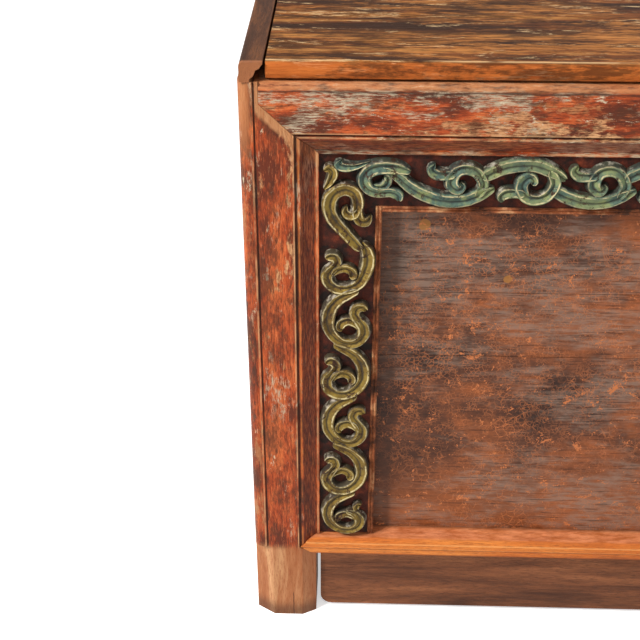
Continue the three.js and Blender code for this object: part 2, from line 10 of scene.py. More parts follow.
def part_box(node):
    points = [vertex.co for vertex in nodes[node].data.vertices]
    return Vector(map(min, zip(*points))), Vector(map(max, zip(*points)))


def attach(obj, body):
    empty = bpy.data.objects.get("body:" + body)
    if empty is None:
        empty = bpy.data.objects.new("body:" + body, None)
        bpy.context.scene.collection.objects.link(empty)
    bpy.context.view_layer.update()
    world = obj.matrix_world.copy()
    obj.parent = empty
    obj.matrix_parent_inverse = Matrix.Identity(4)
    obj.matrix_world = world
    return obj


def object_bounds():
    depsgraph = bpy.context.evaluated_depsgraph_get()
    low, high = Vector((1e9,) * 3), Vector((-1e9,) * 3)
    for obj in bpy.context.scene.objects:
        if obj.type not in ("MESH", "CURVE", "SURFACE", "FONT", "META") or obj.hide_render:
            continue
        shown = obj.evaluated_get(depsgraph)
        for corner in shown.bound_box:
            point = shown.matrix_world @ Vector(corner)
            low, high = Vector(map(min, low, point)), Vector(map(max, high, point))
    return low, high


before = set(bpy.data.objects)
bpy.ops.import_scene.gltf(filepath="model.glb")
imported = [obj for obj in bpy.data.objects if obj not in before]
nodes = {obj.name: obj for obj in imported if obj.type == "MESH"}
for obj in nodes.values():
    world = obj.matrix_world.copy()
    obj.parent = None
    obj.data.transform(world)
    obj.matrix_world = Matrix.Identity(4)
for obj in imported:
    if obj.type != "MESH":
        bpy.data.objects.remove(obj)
cad_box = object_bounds()

# Places read from the frame, in metres
LOW, HIGH = cad_box
HALF_WIDTH = HIGH.x
FRONT = LOW.y
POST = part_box("front_post_left")
POST_WIDTH = POST[1].x - POST[0].x
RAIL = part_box("front_top_rail")
BOTTOM_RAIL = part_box("front_bottom_rail")
BORDER_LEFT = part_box("carved_border_left")
BORDER_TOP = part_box("carved_border_top")
GROUND = BORDER_LEFT[0].y
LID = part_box("lid_front_board")
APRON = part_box("front_apron")

# Camera, found from the photograph's edges
CAMERA_PLACE = (-0.4103, -1.3218, 1.1033)
CAMERA_YAW = math.radians(-1.965)
CAMERA_PITCH = math.radians(32.329)
CAMERA_ROLL = math.radians(-0.106)
CAMERA_LENS = 66.3

MM = 0.001


def tone(red, green, blue):
    """A colour given as screen values from 0 to 255."""
    def linear(value):
        share = value / 255
        return share / 12.92 if share <= 0.04045 else ((share + 0.055) / 1.055) ** 2.4

    return (linear(red), linear(green), linear(blue), 1.0)


# Colours of the finishes
RED_PAINT = tone(166, 70, 32)
RED_BRIGHT = tone(196, 98, 50)
RED_DEEP = tone(94, 40, 22)
GROUND_COAT = tone(176, 160, 134)
CREAM_FLECK = tone(204, 190, 160)
BARE_WOOD = tone(172, 112, 72)
BARE_PALE = tone(206, 158, 112)
# Dark brown for dirt, and also for painted shade in grooves, in the ledge corner, beside the panel's side
# beads and under the bottom rail
GRIME_AND_SHADE = tone(58, 36, 26)
ORANGE_WOOD = tone(206, 122, 56)
ORANGE_PALE = tone(238, 170, 104)
ORANGE_DARK = tone(140, 72, 34)
TOP_DARK = tone(58, 34, 20)
TOP_BROWN = tone(112, 64, 32)
TOP_GOLD = tone(196, 134, 72)
LACQUER = tone(92, 54, 36)
LACQUER_DARK = tone(48, 29, 22)
LACQUER_CRACK = tone(190, 112, 66)
LACQUER_HAZE = tone(138, 116, 102)
LACQUER_LOW = tone(146, 80, 42)
GOLD = tone(158, 106, 50)
DARK_RED = tone(100, 42, 26)
SCROLL_OLIVE = tone(104, 80, 34)
SCROLL_OLIVE_DARK = tone(62, 48, 24)
SCROLL_TEAL = tone(84, 106, 92)
SCROLL_LEAF = tone(136, 142, 90)
SCROLL_RIM = tone(214, 198, 150)
SCROLL_SHADE = tone(46, 44, 42)
RAW_WOOD = tone(150, 116, 78)
RAW_DARK = tone(92, 66, 42)


class Graph:
    """Adds nodes to one tree. An input is given as a value or as another node's socket."""

    def __init__(self, tree):
        self.tree = tree

    def add(self, kind, inputs=None, **settings):
        node = self.tree.nodes.new(kind)
        for name, value in settings.items():
            setattr(node, name, value)
        for name, value in (inputs or {}).items():
            self.feed(node.inputs[name], value)
        return node

    def feed(self, socket, value):
        if isinstance(value, bpy.types.NodeSocket):
            self.tree.links.new(value, socket)
        else:
            socket.default_value = value

    def math(self, operation, first, second=0.0, clamp=False):
        node = self.add("ShaderNodeMath", operation=operation, use_clamp=clamp)
        self.feed(node.inputs[0], first)
        self.feed(node.inputs[1], second)
        return node.outputs[0]

    def mix(self, share, first, second, blend="MIX"):
        node = self.add("ShaderNodeMix", data_type="RGBA", blend_type=blend)
        self.feed(node.inputs[0], share)
        self.feed(node.inputs[6], first)
        self.feed(node.inputs[7], second)
        return node.outputs[2]

    def spread(self, value, low, high, out_low=0.0, out_high=1.0):
        """The value's stretch from low to high, eased to run from out_low to out_high."""
        node = self.add("ShaderNodeMapRange", interpolation_type="SMOOTHSTEP")
        for socket, given in zip(node.inputs, (value, low, high, out_low, out_high)):
            self.feed(socket, given)
        return node.outputs[0]

    def stretched(self, vector, factors):
        node = self.add("ShaderNodeVectorMath", operation="MULTIPLY")
        self.feed(node.inputs[0], vector)
        self.feed(node.inputs[1], factors)
        return node.outputs[0]

    def shifted(self, vector, offset):
        node = self.add("ShaderNodeVectorMath", operation="ADD")
        self.feed(node.inputs[0], vector)
        self.feed(node.inputs[1], offset)
        return node.outputs[0]

    def noise(self, vector, scale, detail=4.0, roughness=0.6, distortion=0.0):
        node = self.add("ShaderNodeTexNoise", inputs={
            "Vector": vector, "Scale": scale, "Detail": detail,
            "Roughness": roughness, "Distortion": distortion})
        return node.outputs[0]

    def ramp(self, value, stops):
        node = self.add("ShaderNodeValToRGB")
        elements = node.color_ramp.elements
        while len(elements) < len(stops):
            elements.new(1.0)
        for element, (place, colour) in zip(elements, stops):
            element.position = place
            element.color = colour
        self.feed(node.inputs[0], value)
        return node.outputs[0]


def group(name, inputs, outputs, build):
    """A shared effect: build(graph, input sockets) returns the output sockets in order."""
    tree = bpy.data.node_groups.new(name, "ShaderNodeTree")
    for label, kind, value in inputs:
        socket = tree.interface.new_socket(name=label, in_out="INPUT", socket_type=kind)
        if value is not None:
            socket.default_value = value
    for label in outputs:
        tree.interface.new_socket(name=label, in_out="OUTPUT", socket_type="NodeSocketFloat")
    graph = Graph(tree)
    given = graph.add("NodeGroupInput").outputs
    result = graph.add("NodeGroupOutput")
    for label, socket in build(graph, given).items():
        graph.feed(result.inputs[label], socket)
    return tree


def build_grain(graph, given):
    vector = graph.stretched(given["Vector"], given["Stretch"])
    streaks = graph.noise(vector, 5.0, 6.0, 0.62, 0.5)
    fine = graph.noise(vector, 38.0, 3.0, 0.7)
    pores = graph.spread(graph.noise(vector, 95.0, 2.0, 0.6), 0.56, 0.7)
    return {"Streaks": streaks, "Fine": fine, "Pores": pores}


def build_flaking(graph, given):
    broad = graph.noise(given["Vector"], given["Size"], 6.0, 0.68, 0.6)
    small_size = graph.math("MULTIPLY", given["Size"], 7.0)
    small = graph.noise(given["Vector"], small_size, 4.0, 0.75)
    mixed = graph.math("ADD", graph.math("MULTIPLY", broad, 0.68), graph.math("MULTIPLY", small, 0.32))
    limit = graph.math("SUBTRACT", 0.72, graph.math("MULTIPLY", given["Amount"], 0.42))
    low = graph.math("SUBTRACT", limit, given["Softness"])
    high = graph.math("ADD", limit, given["Softness"])
    return {"Mask": graph.spread(mixed, low, high)}


def build_crackle(graph, given):
    bend = graph.add("ShaderNodeTexNoise", inputs={
        "Vector": given["Vector"], "Scale": 60.0, "Detail": 2.0})
    bent = graph.stretched(bend.outputs[1], (0.006, 0.006, 0.006))
    place = graph.shifted(given["Vector"], bent)
    cells = graph.add("ShaderNodeTexVoronoi", feature="DISTANCE_TO_EDGE", inputs={
        "Vector": place, "Scale": given["Size"], "Randomness": 1.0})
    lines = graph.spread(cells.outputs[0], 0.0, given["Gap"], 1.0, 0.0)
    return {"Lines": lines}


def build_line(graph, given):
    """One thin band along a place: 1 on it, 0 beyond its width."""
    away = graph.math("ABSOLUTE", graph.math("SUBTRACT", given["Value"], given["Place"]))
    return {"Mask": graph.spread(away, 0.0, given["Width"], 1.0, 0.0)}


VECTOR, FLOAT = "NodeSocketVector", "NodeSocketFloat"
GRAIN = group(
    "wood_grain", [("Vector", VECTOR, None), ("Stretch", VECTOR, (1, 8, 8))],
    ["Streaks", "Fine", "Pores"], build_grain)
FLAKING = group(
    "flaking", [("Vector", VECTOR, None), ("Size", FLOAT, 9.0), ("Amount", FLOAT, 0.4),
                ("Softness", FLOAT, 0.012)],
    ["Mask"], build_flaking)
CRACKLE = group(
    "crackle", [("Vector", VECTOR, None), ("Size", FLOAT, 90.0), ("Gap", FLOAT, 0.05)],
    ["Lines"], build_crackle)
LINE = group(
    "thin_line", [("Value", FLOAT, 0.0), ("Place", FLOAT, 0.0), ("Width", FLOAT, 0.001)],
    ["Mask"], build_line)


class Finish(Graph):
    """One material on Object coordinates, with the shared effects close to hand."""

    def __init__(self, name, seed=0.0):
        self.material = bpy.data.materials.new(name)
        self.material.use_nodes = True
        super().__init__(self.material.node_tree)
        self.tree.nodes.clear()
        coordinates = self.add("ShaderNodeTexCoord")
        self.place = coordinates.outputs["Object"]
        self.uv = coordinates.outputs["UV"]
        self.vector = self.shifted(self.place, (seed, seed * 1.7, seed * 0.6))
        split = self.add("ShaderNodeSeparateXYZ", inputs={"Vector": self.place})
        self.x, self.y, self.z = split.outputs
        side = self.math("ABSOLUTE", self.x)
        self.inset = self.math("SUBTRACT", HALF_WIDTH, side)
        self.setback = self.math("SUBTRACT", self.y, FRONT)

    def use(self, tree, **inputs):
        node = self.add("ShaderNodeGroup")
        node.node_tree = tree
        for name, value in inputs.items():
            self.feed(node.inputs[name], value)
        return node.outputs

    def grain(self, stretch):
        return self.use(GRAIN, Vector=self.vector, Stretch=stretch)

    def hairs(self, along):
        """Very fine streaks along the grain."""
        fine = self.stretched(self.vector, tuple(factor * 6 for factor in along))
        return self.noise(fine, 14.0, 5.0, 0.7)

    def flakes(self, size, amount, softness=0.012, stretch=(1.0, 1.0, 1.0), offset=0.0):
        vector = self.stretched(self.shifted(self.vector, (offset, offset, offset)), stretch)
        return self.use(FLAKING, Vector=vector, Size=size, Amount=amount, Softness=softness)["Mask"]

    def line(self, value, place, width):
        return self.use(LINE, Value=value, Place=place, Width=width)["Mask"]

    def between(self, value, low, high, soft):
        rise = self.spread(value, low - soft, low + soft)
        fall = self.spread(value, high - soft, high + soft, 1.0, 0.0)
        return self.math("MULTIPLY", rise, fall)

    def finish(self, colour, roughness, height, distance=0.0006, strength=0.8, sheen=0.16):
        bump = self.add("ShaderNodeBump", inputs={
            "Strength": strength, "Distance": distance, "Height": height})
        shader = self.add("ShaderNodeBsdfPrincipled", inputs={
            "Base Color": colour, "Roughness": roughness, "Normal": bump.outputs[0],
            "Specular IOR Level": sheen})
        output = self.add("ShaderNodeOutputMaterial")
        self.feed(output.inputs[0], shader.outputs[0])
        return self.material


# Which way the grain runs, as how much each direction is squeezed
ACROSS = 9.0
ALONG_X = (1.0, ACROSS, ACROSS)
ALONG_Y = (ACROSS, 1.0, ACROSS)
ALONG_Z = (ACROSS, ACROSS, 1.0)


def worn_paint(finish, along, flake_amount, ground_amount):
    """Old red paint over a pale ground coat. Returns colour, roughness, height and bare wood."""
    grain = finish.grain(along)
    hairs = finish.hairs(along)
    wood = finish.ramp(grain["Streaks"], [
        (0.3, ORANGE_DARK), (0.5, BARE_WOOD), (0.68, BARE_PALE)])
    wood = finish.mix(finish.spread(hairs, 0.52, 0.36, 0.0, 0.6), wood, ORANGE_DARK)
    stretch = tuple(0.35 + 0.91 * factor / ACROSS for factor in along)
    tones = finish.noise(finish.stretched(finish.vector, stretch), 26.0, 5.0, 0.65)
    paint = finish.ramp(tones, [(0.4, RED_DEEP), (0.49, RED_PAINT), (0.59, RED_BRIGHT)])
    lost = finish.flakes(11.0, flake_amount, 0.02, stretch, 2.0)
    broken = finish.spread(hairs, 0.4, 0.56)
    pale = finish.math("MULTIPLY", finish.flakes(16.0, ground_amount, 0.03, stretch, 5.0), broken)
    flecks = finish.flakes(85.0, ground_amount * 0.62, 0.03, stretch, 9.0)
    streak_marks = finish.spread(hairs, 0.5, 0.38)
    colour = finish.mix(lost, paint, wood)
    colour = finish.mix(finish.math("MULTIPLY", streak_marks, 0.8), colour, RED_DEEP)
    bright_marks = finish.math("MULTIPLY", finish.spread(hairs, 0.56, 0.66), 0.55)
    colour = finish.mix(bright_marks, colour, tone(222, 128, 76))
    colour = finish.mix(pale, colour, GROUND_COAT)
    flecks = finish.math("MULTIPLY", flecks, finish.spread(hairs, 0.38, 0.5))
    colour = finish.mix(flecks, colour, CREAM_FLECK)
    spots = finish.flakes(34.0, 0.3, 0.03, stretch, 14.0)
    colour = finish.mix(finish.math("MULTIPLY", spots, 0.7), colour, GRIME_AND_SHADE)
    mottle = finish.noise(finish.stretched(finish.vector, stretch), 34.0, 8.0, 0.78)
    colour = finish.mix(finish.spread(mottle, 0.48, 0.6, 0.0, 0.72), colour, tone(74, 42, 26))
    dirt = finish.spread(grain["Streaks"], 0.42, 0.3)
    colour = finish.mix(finish.math("MULTIPLY", dirt, 0.7), colour, GRIME_AND_SHADE)
    colour = finish.mix(finish.math("MULTIPLY", grain["Pores"], 0.45), colour, GRIME_AND_SHADE)
    roughness = finish.spread(lost, 0.0, 1.0, 0.52, 0.8)
    film = finish.math("SUBTRACT", 1.0, finish.math("MULTIPLY", lost, 0.6))
    height = finish.math("ADD", film, finish.math("MULTIPLY", grain["Fine"], 0.5))
    height = finish.math("SUBTRACT", height, finish.math("MULTIPLY", grain["Pores"], 0.4))
    return colour, roughness, height, wood


# Insets of the post's mouldings, from its outer face
OUTER_BEAD = 13.2 * MM
OUTER_GROOVE = 15.6 * MM
MOULDING = POST_WIDTH - 24 * MM
MOULDING_GROOVE = MOULDING + 1.2 * MM
MOULDING_BEAD = MOULDING + 4.2 * MM
HOLLOW_START = MOULDING + 6.2 * MM
HOLLOW_END = POST_WIDTH - 4.2 * MM
INNER_EDGE = POST_WIDTH - 1.8 * MM
FOOT_TOP = 112 * MM
MITRE_OUTER_INSET = 20 * MM
MITRE_OUTER_DROP = 22 * MM
HOLLOW_TONES = [(0.38, GRIME_AND_SHADE), (0.5, DARK_RED), (0.64, tone(156, 88, 52))]


def front_post_finish():
    finish = Finish("post_paint", 0.3)
    colour, roughness, height, wood = worn_paint(finish, ALONG_Z, 0.34, 0.36)
    inset = finish.inset
    front = finish.spread(finish.setback, 12 * MM, 16 * MM, 1.0, 0.0)
    outer = finish.spread(inset, 9 * MM, 14 * MM, 1.0, 0.0)
    worn = finish.math("MULTIPLY", outer, finish.flakes(20.0, 0.3, 0.03, (1, 1, 0.4), 12.0))
    colour = finish.mix(worn, colour, wood)
    colour = finish.mix(finish.math("MULTIPLY", outer, 0.25), colour, RED_DEEP)
    for offset, amount, shade in ((17.0, 0.42, GRIME_AND_SHADE), (23.0, 0.24, CREAM_FLECK)):
        marks = finish.flakes(30.0, amount, 0.03, (1, 1, 0.3), offset)
        marks = finish.math("MULTIPLY", finish.math("MULTIPLY", marks, outer), 0.75)
        colour = finish.mix(marks, colour, shade)

    mitre = finish.math("ADD", finish.z, inset)
    mitre_line = RAIL[1].z + MITRE_OUTER_INSET - MITRE_OUTER_DROP
    bared = finish.spread(
        finish.math("ADD", mitre, finish.math("MULTIPLY", finish.noise(finish.vector, 40.0), 0.02)),
        mitre_line - 4 * MM, mitre_line + 2 * MM)
    bared = finish.math("MULTIPLY", bared, finish.spread(inset, 12 * MM, 18 * MM))
    top_left = finish.math("MULTIPLY", finish.spread(finish.z, 0.60, 0.67), outer)
    brown = finish.mix(0.45, wood, tone(150, 92, 54))
    colour = finish.mix(finish.math("MAXIMUM", bared, top_left), colour, brown)

    hollow = finish.math("MULTIPLY", front, finish.between(inset, HOLLOW_START, HOLLOW_END, 0.6 * MM))
    dark_hollow = finish.ramp(finish.hairs(ALONG_Z), HOLLOW_TONES)
    colour = finish.mix(finish.math("MULTIPLY", hollow, 0.82), colour, dark_hollow)
    marks = finish.spread(finish.noise(finish.vector, 30.0, 4.0), 0.36, 0.6)
    # The dark lines down the two grooves are painted shade; the pale and orange lines are worn beads and
    # arrises
    for place, width, shade, amount in (
            (OUTER_BEAD, 1.4 * MM, BARE_PALE, 0.7),
            (OUTER_GROOVE, 1.5 * MM, GRIME_AND_SHADE, 0.95),
            (MOULDING - 0.8 * MM, 1.3 * MM, BARE_PALE, 0.75),
            (MOULDING_GROOVE, 1.8 * MM, GRIME_AND_SHADE, 0.95),
            (MOULDING_BEAD, 1.5 * MM, ORANGE_WOOD, 0.6),
            (INNER_EDGE, 1.6 * MM, BARE_PALE, 0.7)):
        line = finish.math("MULTIPLY", finish.line(inset, place, width), front)
        if shade is not GRIME_AND_SHADE:
            line = finish.math("MULTIPLY", line, marks)
        colour = finish.mix(finish.math("MULTIPLY", line, amount), colour, shade)

    ragged = finish.math(
        "ADD", finish.z, finish.math("MULTIPLY", finish.noise(finish.vector, 22.0), 12 * MM))
    foot = finish.spread(ragged, FOOT_TOP, FOOT_TOP + 14 * MM, 1.0, 0.0)
    colour = finish.mix(foot, colour, wood)
    stain = finish.math("MULTIPLY", finish.spread(ragged, 12 * MM, 34 * MM, 1.0, 0.0), 0.6)
    colour = finish.mix(stain, colour, GRIME_AND_SHADE)
    crack_place = finish.math(
        "ADD", 44 * MM, finish.math("MULTIPLY", finish.noise(finish.stretched(
            finish.vector, (0.0, 0.0, 1.0)), 60.0), 3 * MM))
    crack = finish.math("MULTIPLY", finish.line(inset, crack_place, 0.7 * MM),
                        finish.spread(finish.z, 34 * MM, 40 * MM, 1.0, 0.0))
    colour = finish.mix(crack, colour, GRIME_AND_SHADE)
    height = finish.math("SUBTRACT", height, crack)
    return finish.finish(colour, roughness, height, 0.0007)


def top_rail_finish():
    finish = Finish("rail_paint", 4.1)
    colour, roughness, height, _ = worn_paint(finish, ALONG_X, 0.42, 0.46)
    level = finish.z
    top = RAIL[1].z
    low = RAIL[0].z
    front = finish.spread(finish.setback, 12 * MM, 16 * MM, 1.0, 0.0)
    crown = finish.spread(level, top - 9 * MM, top - 5 * MM)
    crown_noise = finish.noise(finish.stretched(finish.vector, (1.0, 5.0, 5.0)), 40.0, 6.0, 0.7)
    crown_tone = finish.ramp(crown_noise, [
        (0.36, tone(96, 58, 38)), (0.48, BARE_WOOD), (0.6, tone(194, 130, 84)), (0.72, CREAM_FLECK)])
    colour = finish.mix(finish.math("MULTIPLY", crown, 0.8), colour, crown_tone)
    peeling = finish.math("ADD", level, finish.math(
        "MULTIPLY", finish.noise(finish.vector, 18.0, 5.0), 7 * MM))
    peel_line = finish.line(peeling, top - 5.5 * MM, 1.9 * MM)
    colour = finish.mix(finish.math("MULTIPLY", peel_line, 0.75), colour, GRIME_AND_SHADE)
    hollow = finish.between(level, low + 4.2 * MM, low + 17.6 * MM, 0.6 * MM)
    dark_hollow = finish.ramp(finish.hairs(ALONG_X), HOLLOW_TONES)
    hollow = finish.math("MULTIPLY", hollow, front)
    colour = finish.mix(finish.math("MULTIPLY", hollow, 0.75), colour, dark_hollow)
    marks = finish.spread(finish.noise(finish.vector, 30.0, 4.0), 0.36, 0.6)
    # The dark line in the groove is painted shade; the pale lines are worn arrises
    for place, width, shade, amount in (
            (low + 24.6 * MM, 1.3 * MM, BARE_PALE, 0.55),
            (low + 22.8 * MM, 1.8 * MM, GRIME_AND_SHADE, 0.95),
            (low + 19.8 * MM, 1.5 * MM, BARE_PALE, 0.75),
            (low + 1.8 * MM, 1.6 * MM, BARE_PALE, 0.6)):
        line = finish.math("MULTIPLY", finish.line(level, place, width), front)
        if shade is not GRIME_AND_SHADE:
            line = finish.math("MULTIPLY", line, marks)
        colour = finish.mix(finish.math("MULTIPLY", line, amount), colour, shade)
    return finish.finish(colour, roughness, height, 0.0007)


def carcass_paint(name, along, seed):
    finish = Finish(name, seed)
    colour, roughness, height, wood = worn_paint(finish, along, 0.44, 0.3)
    low_wear = finish.spread(finish.z, 20 * MM, 120 * MM, 1.0, 0.0)
    colour = finish.mix(finish.math("MULTIPLY", low_wear, 0.85), colour, wood)
    return finish.finish(colour, roughness, height)


def bare_wood(name, along, seed, stops, roughness=(0.45, 0.7), grime=0.3):
    """Worn stained wood: the stops are grain colours from its dark to its pale streaks."""
    finish = Finish(name, seed)
    grain = finish.grain(along)
    colour = finish.ramp(grain["Streaks"], stops)
    worn = finish.flakes(14.0, 0.3, 0.08, tuple(factor / 5 for factor in along), 3.0)
    colour = finish.mix(finish.math("MULTIPLY", worn, 0.45), colour, stops[-1][1])
    colour = finish.mix(finish.math("MULTIPLY", grain["Pores"], grime), colour, stops[0][1])
    fine = finish.spread(grain["Fine"], 0.35, 0.7)
    colour = finish.mix(finish.math("MULTIPLY", fine, grime), colour, GRIME_AND_SHADE)
    colour = finish.mix(finish.spread(finish.hairs(along), 0.5, 0.36, 0.0, 0.6), colour, stops[0][1])
    gloss = finish.spread(worn, 0.0, 1.0, roughness[0], roughness[1])
    height = finish.math("SUBTRACT", grain["Fine"], finish.math("MULTIPLY", grain["Pores"], 0.6))
    return finish, colour, gloss, height


def bottom_rail_finish():
    finish, colour, gloss, height = bare_wood(
        "bottom_rail_wood", ALONG_X, 7.3,
        [(0.3, ORANGE_DARK), (0.44, tone(200, 106, 42)), (0.7, tone(226, 140, 66))], (0.42, 0.6), 0.16)
    low = BOTTOM_RAIL[0].z
    ledge = finish.spread(finish.setback, 3 * MM, 7 * MM)
    rosy_noise = finish.noise(finish.stretched(finish.vector, (1.0, 4.0, 4.0)), 44.0, 6.0, 0.7)
    rosy = finish.ramp(rosy_noise, [(0.36, tone(156, 84, 50)), (0.62, tone(224, 146, 104))])
    colour = finish.mix(finish.math("MULTIPLY", ledge, 0.7), colour, rosy)
    # Painted light on the moulding: the pale lines are painted highlights on its beads, the dark lines
    # painted shade below them and along the lower edge
    for place, width, shade, amount in (
            (low + 16.5 * MM, 1.6 * MM, ORANGE_PALE, 0.5),
            (low + 9.8 * MM, 1.2 * MM, ORANGE_PALE, 0.6),
            (low + 8.4 * MM, 1.0 * MM, ORANGE_DARK, 0.8),
            (low + 0.6 * MM, 1.4 * MM, ORANGE_DARK, 0.8)):
        line = finish.line(finish.z, place, width)
        colour = finish.mix(finish.math("MULTIPLY", line, amount), colour, shade)
    # Painted shade in the corner where the ledge meets the panel
    corner = finish.math("MULTIPLY", ledge, finish.spread(finish.setback, 19 * MM, 25 * MM))
    colour = finish.mix(finish.math("MULTIPLY", corner, 0.6), colour, GRIME_AND_SHADE)
    return finish.finish(colour, gloss, height, 0.0005)


def top_board_finish(name, seed):
    finish, colour, gloss, height = bare_wood(
        name, (0.8, 8.0, 8.0), seed,
        [(0.42, TOP_DARK), (0.48, TOP_BROWN), (0.54, tone(140, 78, 36)), (0.62, TOP_GOLD)], (0.65, 0.8), 0.4)
    hairs = finish.noise(finish.stretched(finish.vector, (3.0, 44.0, 44.0)), 14.0, 5.0, 0.7)
    worn = finish.flakes(9.0, 0.5, 0.03, (0.5, 2.4, 2.4), 21.0)
    worn = finish.math("MULTIPLY", worn, finish.spread(hairs, 0.42, 0.56))
    colour = finish.mix(finish.math("MULTIPLY", worn, 0.85), colour, tone(186, 120, 62))
    dark = finish.flakes(6.0, 0.46, 0.05, (0.4, 2.0, 2.0), 27.0)
    colour = finish.mix(finish.math("MULTIPLY", dark, 0.85), colour, tone(44, 26, 16))
    colour = finish.mix(finish.spread(hairs, 0.48, 0.4, 0.0, 0.7), colour, TOP_DARK)
    chips = finish.math("MULTIPLY", finish.flakes(30.0, 0.36, 0.02, (0.4, 2.0, 2.0), 39.0),
                        finish.spread(hairs, 0.46, 0.54))
    colour = finish.mix(finish.math("MULTIPLY", chips, 0.8), colour, tone(222, 186, 138))
    lid_front = LID[0].y
    edge = finish.spread(finish.y, lid_front + 1 * MM, lid_front + 5 * MM, 1.0, 0.0)
    orange = finish.mix(finish.noise(finish.stretched(
        finish.vector, (0.6, 4.0, 6.0)), 30.0), tone(216, 120, 52), tone(140, 62, 28))
    edge_dark = finish.flakes(12.0, 0.42, 0.04, (0.5, 2.0, 2.0), 33.0)
    orange = finish.mix(finish.math("MULTIPLY", edge_dark, 0.75), orange, TOP_DARK)
    colour = finish.mix(finish.math("MULTIPLY", edge, 0.85), colour, orange)
    # A broken pale band where the lid's front edge rounds over: painted highlight
    arris_highlight = finish.line(finish.y, lid_front + 6 * MM, 3 * MM)
    arris_highlight = finish.math("MULTIPLY", arris_highlight, finish.spread(
        finish.noise(finish.stretched(finish.vector, (0.5, 2, 2)), 40.0), 0.38, 0.6))
    colour = finish.mix(finish.math("MULTIPLY", arris_highlight, 0.8), colour, tone(222, 180, 130))
    return finish.finish(colour, gloss, height, 0.0008, sheen=0.05)


def end_strip_finish():
    finish, colour, gloss, height = bare_wood(
        "end_strip_wood", ALONG_Y, 15.2,
        [(0.32, tone(52, 34, 24)), (0.5, tone(80, 50, 34)), (0.7, tone(132, 84, 52))], (0.6, 0.75), 0.35)
    nose = finish.spread(finish.setback, 3 * MM, 8 * MM, 1.0, 0.0)
    colour = finish.mix(finish.math("MULTIPLY", nose, 0.6), colour, tone(176, 112, 74))
    return finish.finish(colour, gloss, height, sheen=0.06)


# Where gold paint is left on the front panel: across and up from the origin, and its radius
GOLD_REMAINS = ((-0.3366, 0.5426, 0.006), (-0.2465, 0.4792, 0.005))
PANEL_INSET = HALF_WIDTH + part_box("inner_bead_left")[1].x


def gold_left(finish, across, up, reach):
    """One small ragged patch of gold: 1 on it, 0 beyond its radius."""
    middle = finish.shifted(finish.place, (-across, 0.0, -up))
    bends = finish.add("ShaderNodeTexNoise", inputs={
        "Vector": finish.vector, "Scale": 90.0, "Detail": 4.0}).outputs[1]
    ragged = finish.shifted(
        finish.stretched(middle, (1, 0, 1)), finish.stretched(bends, (0.006, 0.0, 0.006)))
    away = finish.add("ShaderNodeVectorMath", operation="LENGTH", inputs={"Vector": ragged})
    return finish.spread(away.outputs[1], reach - 0.6 * MM, reach + 0.6 * MM, 0.75, 0.0)


def lacquer_finish(name, seed, front=False):
    finish = Finish(name, seed)
    grain = finish.grain((1.0, 6.0, 6.0))
    tones = finish.noise(finish.vector, 7.0, 6.0, 0.65)
    colour = finish.ramp(tones, [(0.4, LACQUER_DARK), (0.5, LACQUER), (0.61, LACQUER_LOW)])
    streaks = finish.spread(grain["Streaks"], 0.45, 0.65)
    colour = finish.mix(finish.math("MULTIPLY", streaks, 0.5), colour, LACQUER_DARK)
    low_part = finish.spread(finish.z, 150 * MM, 270 * MM, 1.0, 0.0)
    colour = finish.mix(finish.math("MULTIPLY", low_part, 0.55), colour, LACQUER_LOW)
    haze = finish.flakes(5.0, 0.46, 0.06, (0.6, 1, 2.0), 31.0)
    haze = finish.math("MULTIPLY", haze, finish.spread(grain["Fine"], 0.3, 0.6))
    colour = finish.mix(finish.math("MULTIPLY", haze, 0.66), colour, LACQUER_HAZE)
    fine_cracks = finish.use(CRACKLE, Vector=finish.vector, Size=230.0, Gap=0.13)["Lines"]
    wide_cracks = finish.use(CRACKLE, Vector=finish.vector, Size=105.0, Gap=0.08)["Lines"]
    where_fine = finish.flakes(5.0, 0.6, 0.09, (1, 1, 1), 41.0)
    where_wide = finish.flakes(4.2, 0.4, 0.08, (1, 1, 1), 47.0)
    fine_cracks = finish.math("MULTIPLY", fine_cracks, where_fine)
    wide_cracks = finish.math("MULTIPLY", wide_cracks, where_wide)
    cracks = finish.math("MAXIMUM", finish.math("MULTIPLY", fine_cracks, 0.6), wide_cracks)
    broken = finish.spread(finish.noise(finish.vector, 90.0, 4.0), 0.36, 0.58)
    cracks = finish.math("MULTIPLY", cracks, broken)
    colour = finish.mix(finish.math("MULTIPLY", cracks, 0.85), colour, LACQUER_CRACK)
    hairs = finish.noise(finish.stretched(finish.vector, (2.0, 40.0, 40.0)), 10.0, 5.0, 0.7)
    colour = finish.mix(finish.spread(hairs, 0.47, 0.36, 0.0, 0.7), colour, LACQUER_DARK)
    if front:
        # Painted shadow of the side frames, a dark band on the panel beside each side bead
        shaded = finish.spread(
            finish.inset, PANEL_INSET + 16 * MM, PANEL_INSET + 23 * MM, 0.42, 0.0)
        colour = finish.mix(shaded, colour, GRIME_AND_SHADE)
        for across, up, reach in GOLD_REMAINS:
            colour = finish.mix(gold_left(finish, across, up, reach), colour, GOLD)
    specks = finish.flakes(70.0, 0.3, 0.01, (1, 1, 1), 53.0)
    colour = finish.mix(specks, colour, LACQUER_CRACK)
    roughness = finish.spread(haze, 0.0, 1.0, 0.42, 0.65)
    height = finish.math("SUBTRACT", finish.math("MULTIPLY", grain["Fine"], 0.3), cracks)
    return finish.finish(colour, roughness, height, 0.0004)


